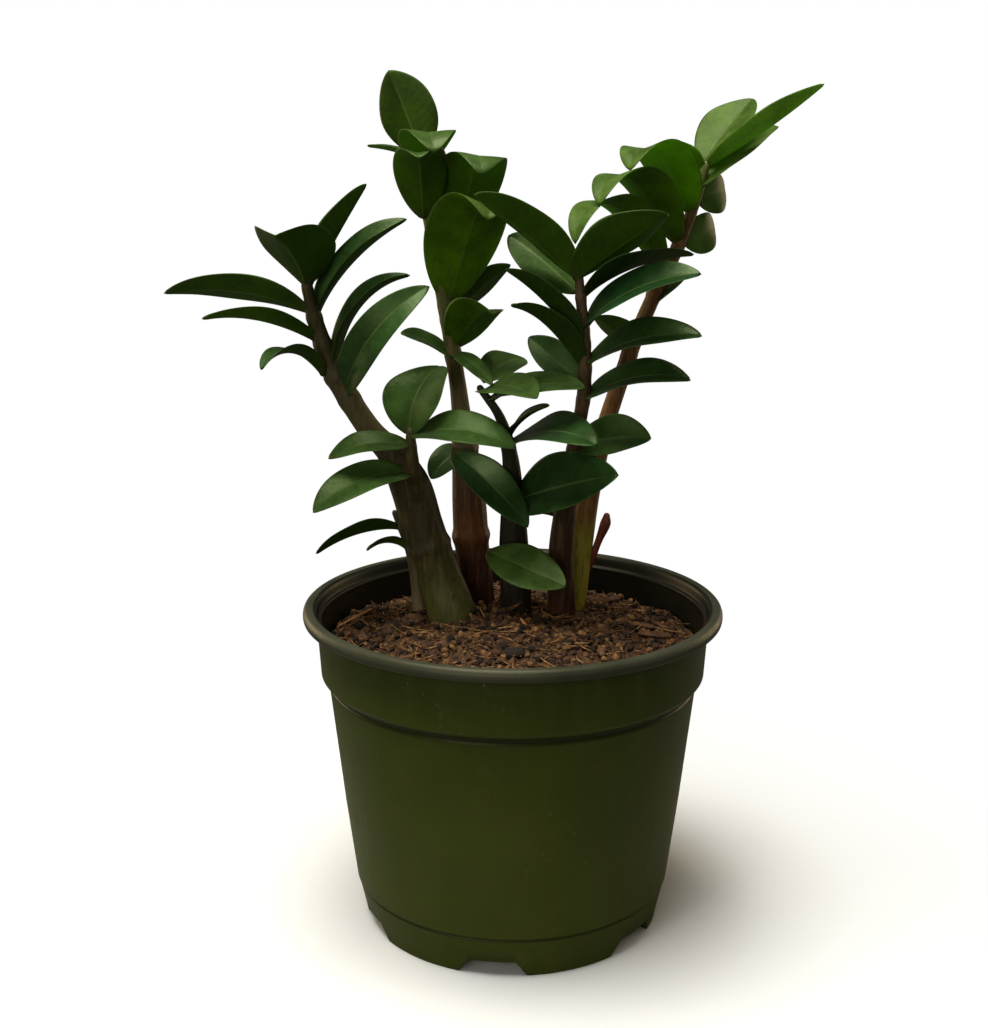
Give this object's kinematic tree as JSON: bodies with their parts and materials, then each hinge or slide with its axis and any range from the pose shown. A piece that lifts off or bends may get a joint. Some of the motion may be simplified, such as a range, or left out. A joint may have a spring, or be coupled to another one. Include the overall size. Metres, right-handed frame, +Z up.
{
  "type": "potted zz plant",
  "caption": "Young ZZ plant with leaning fronds of thick glossy leaflets, growing in potting mix in a tapered green plastic nursery pot with a rolled lip and drain notches.",
  "frame": {"origin": "middle of the whole plant's footprint, on the surface the pot stands on", "axes": "+Z up, +Y away from the front view, +X to the viewer's right"},
  "size_m": [0.25, 0.165, 0.333],
  "materials": {
    "pot_plastic": "dark olive green moulded polypropylene, satin, lightly scuffed",
    "potting_mix": "damp dark brown mix of peat, bark and coir, matt",
    "stem_skin": "olive and brown fleshy rachis, smooth, faint lengthwise streaks",
    "leaf_blade": "waxy deep green leaflet, glossy above, duller below",
    "dead_stalk": "dry red-brown stub, matt"
  },
  "bodies": {
    "root": {"centre_leaf_1": "leaf_blade", "centre_leaf_10": "leaf_blade", "centre_leaf_11": "leaf_blade", "centre_leaf_12": "leaf_blade", "centre_leaf_2": "leaf_blade", "centre_leaf_3": "leaf_blade", "centre_leaf_4": "leaf_blade", "centre_leaf_5": "leaf_blade", "centre_leaf_6": "leaf_blade", "centre_leaf_7": "leaf_blade", "centre_leaf_8": "leaf_blade", "centre_leaf_9": "leaf_blade", "centre_stem": "stem_skin", "cut_stub": "dead_stalk", "left_leaf_1": "leaf_blade", "left_leaf_2": "leaf_blade", "left_leaf_3": "leaf_blade", "left_leaf_4": "leaf_blade", "left_leaf_5": "leaf_blade", "left_leaf_6": "leaf_blade", "left_leaf_7": "leaf_blade", "left_leaf_8": "leaf_blade", "left_stem": "stem_skin", "middle_leaf_1": "leaf_blade", "middle_leaf_2": "leaf_blade", "middle_leaf_3": "leaf_blade", "middle_leaf_4": "leaf_blade", "middle_leaf_5": "leaf_blade", "middle_stem": "stem_skin", "nursery_pot": "pot_plastic", "potting_soil": "potting_mix", "right_centre_leaf_1": "leaf_blade", "right_centre_leaf_10": "leaf_blade", "right_centre_leaf_11": "leaf_blade", "right_centre_leaf_2": "leaf_blade", "right_centre_leaf_3": "leaf_blade", "right_centre_leaf_4": "leaf_blade", "right_centre_leaf_5": "leaf_blade", "right_centre_leaf_6": "leaf_blade", "right_centre_leaf_7": "leaf_blade", "right_centre_leaf_8": "leaf_blade", "right_centre_leaf_9": "leaf_blade", "right_centre_stem": "stem_skin", "right_leaf_1": "leaf_blade", "right_leaf_2": "leaf_blade", "right_leaf_3": "leaf_blade", "right_leaf_4": "leaf_blade", "right_leaf_5": "leaf_blade", "right_leaf_6": "leaf_blade", "right_leaf_7": "leaf_blade", "right_leaf_8": "leaf_blade", "right_leaf_9": "leaf_blade", "right_stem": "stem_skin", "short_left_leaf_1": "leaf_blade", "short_left_leaf_2": "leaf_blade", "short_left_leaf_3": "leaf_blade", "short_left_leaf_4": "leaf_blade", "short_left_stem": "stem_skin", "thin_left_leaf_1": "leaf_blade", "thin_left_stem": "stem_skin"}
  },
  "joints": []
}
